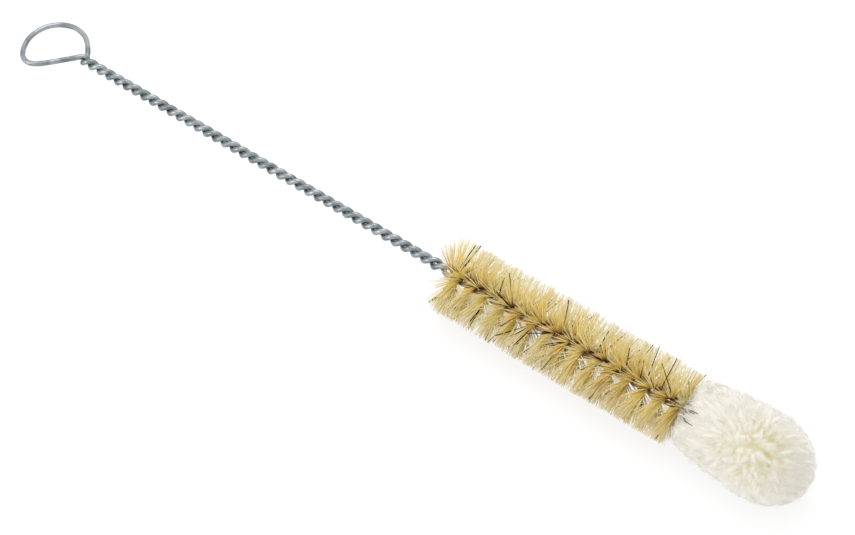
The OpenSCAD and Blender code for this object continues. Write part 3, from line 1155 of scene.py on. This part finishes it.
# The world's grey for the light it sends
WORLD_GREY = 0.95
# Each lamp's name, place, size and power, and the point that they are turned to
LAMPS = (
    ("key", (-0.35, -0.85, 0.38), 0.75, 3.2),
    ("back", (-0.25, 0.3, 1.0), 0.9, 4.0),
)
LAMPS_AIM = (0.05, 0, 0)
# The point that the camera looks at, in millimetres
CAMERA_AIM = (14.71, 0.11, 7.41)


class BRUSH_OT_stage(Operator):
    """Sets the pale floor, the soft light and the camera"""

    bl_idname = "brush.stage"
    bl_label = "Set the Stage"

    def execute(self, context):
        settings = context.scene.brush_stage
        self.floor(settings)
        self.light(context.scene)
        self.camera(context.scene, settings)
        context.scene.view_settings.view_transform = "Standard"
        return {"FINISHED"}

    def floor(self, settings):
        """The pale surface that the brush lies on."""
        bm = bmesh.new()
        bmesh.ops.create_grid(bm, x_segments=1, y_segments=1, size=settings.floor_size / 2)
        mesh = bpy.data.meshes.new("floor")
        bm.to_mesh(mesh)
        bm.free()
        made, tree, shader = material_nodes("floor_white")
        tone = path_switch(tree, grey(FLOOR_SEEN), grey(FLOOR_GREY))
        glow = path_switch(tree, grey(FLOOR_GLOW), grey(0))
        tree.links.new(tone, shader.inputs["Base Color"])
        tree.links.new(glow, shader.inputs["Emission Color"])
        shader.inputs["Emission Strength"].default_value = 1.0
        shader.inputs["Roughness"].default_value = 1.0
        shader.inputs["Specular IOR Level"].default_value = 0.0
        mesh.materials.append(made)
        new_object("floor", mesh)

    def light(self, scene):
        """The even light all round and the two soft lamps."""
        world = bpy.data.worlds.new("studio")
        world.use_nodes = True
        tree = world.node_tree
        ground = tree.nodes["Background"]
        tree.links.new(path_switch(tree, grey(1), grey(WORLD_GREY)), ground.inputs["Color"])
        scene.world = world
        for name, place, size, power in LAMPS:
            soft_lamp(name, place, size, power, LAMPS_AIM)

    def camera(self, scene, settings):
        """The camera, turned round the brush and set above it."""
        aim = Vector(CAMERA_AIM) * MM
        flat = math.cos(settings.elevation)
        back = Vector((math.sin(settings.azimuth) * flat, -math.cos(settings.azimuth) * flat,
                       math.sin(settings.elevation)))
        eye = bpy.data.cameras.new("camera")
        eye.lens = settings.lens
        eye.sensor_width = 36
        eye.clip_start = 0.01
        camera = new_object("camera", eye)
        camera.location = aim + back * settings.distance
        camera.rotation_euler = (math.pi / 2 - settings.elevation, 0, settings.azimuth)
        scene.camera = camera


class BRUSH_PT_panel(Panel):
    """Lists the brush's operators and settings in the sidebar"""

    bl_label = "Bottle Brush"
    bl_idname = "BRUSH_PT_panel"
    bl_space_type = "VIEW_3D"
    bl_region_type = "UI"
    bl_category = "Brush"

    def draw(self, context):
        for group, operators in PANEL_ROWS.items():
            column = self.layout.column()
            for operator in operators:
                column.operator(operator)
            settings = getattr(context.scene, group)
            for name in settings.bl_rna.properties.keys():
                if name not in ("rna_type", "name"):
                    column.prop(settings, name)


GROUPS = {
    "brush_sizes": BrushSizes,
    "brush_wire": WireSettings,
    "brush_bristles": BristleSettings,
    "brush_wool": WoolSettings,
    "brush_stage": StageSettings,
}
PANEL_ROWS = {
    "brush_sizes": (),
    "brush_wire": ("brush.wire",),
    "brush_bristles": ("brush.bristles", "brush.dark_bristles"),
    "brush_wool": ("brush.wool",),
    "brush_stage": ("brush.stage",),
}
CLASSES = (
    *GROUPS.values(),
    BRUSH_OT_wire,
    BRUSH_OT_bristles,
    BRUSH_OT_dark_bristles,
    BRUSH_OT_wool,
    BRUSH_OT_stage,
    BRUSH_PT_panel,
)


def register():
    for made in CLASSES:
        bpy.utils.register_class(made)
    for name, group in GROUPS.items():
        setattr(bpy.types.Scene, name, PointerProperty(type=group))


def unregister():
    for name in GROUPS:
        delattr(bpy.types.Scene, name)
    for made in reversed(CLASSES):
        bpy.utils.unregister_class(made)


def main():
    """Builds the stage and the brush."""
    register()
    bpy.ops.brush.stage()
    bpy.ops.brush.wire()
    bpy.ops.brush.bristles()
    bpy.ops.brush.dark_bristles()
    bpy.ops.brush.wool()


if __name__ == "__main__":
    main()
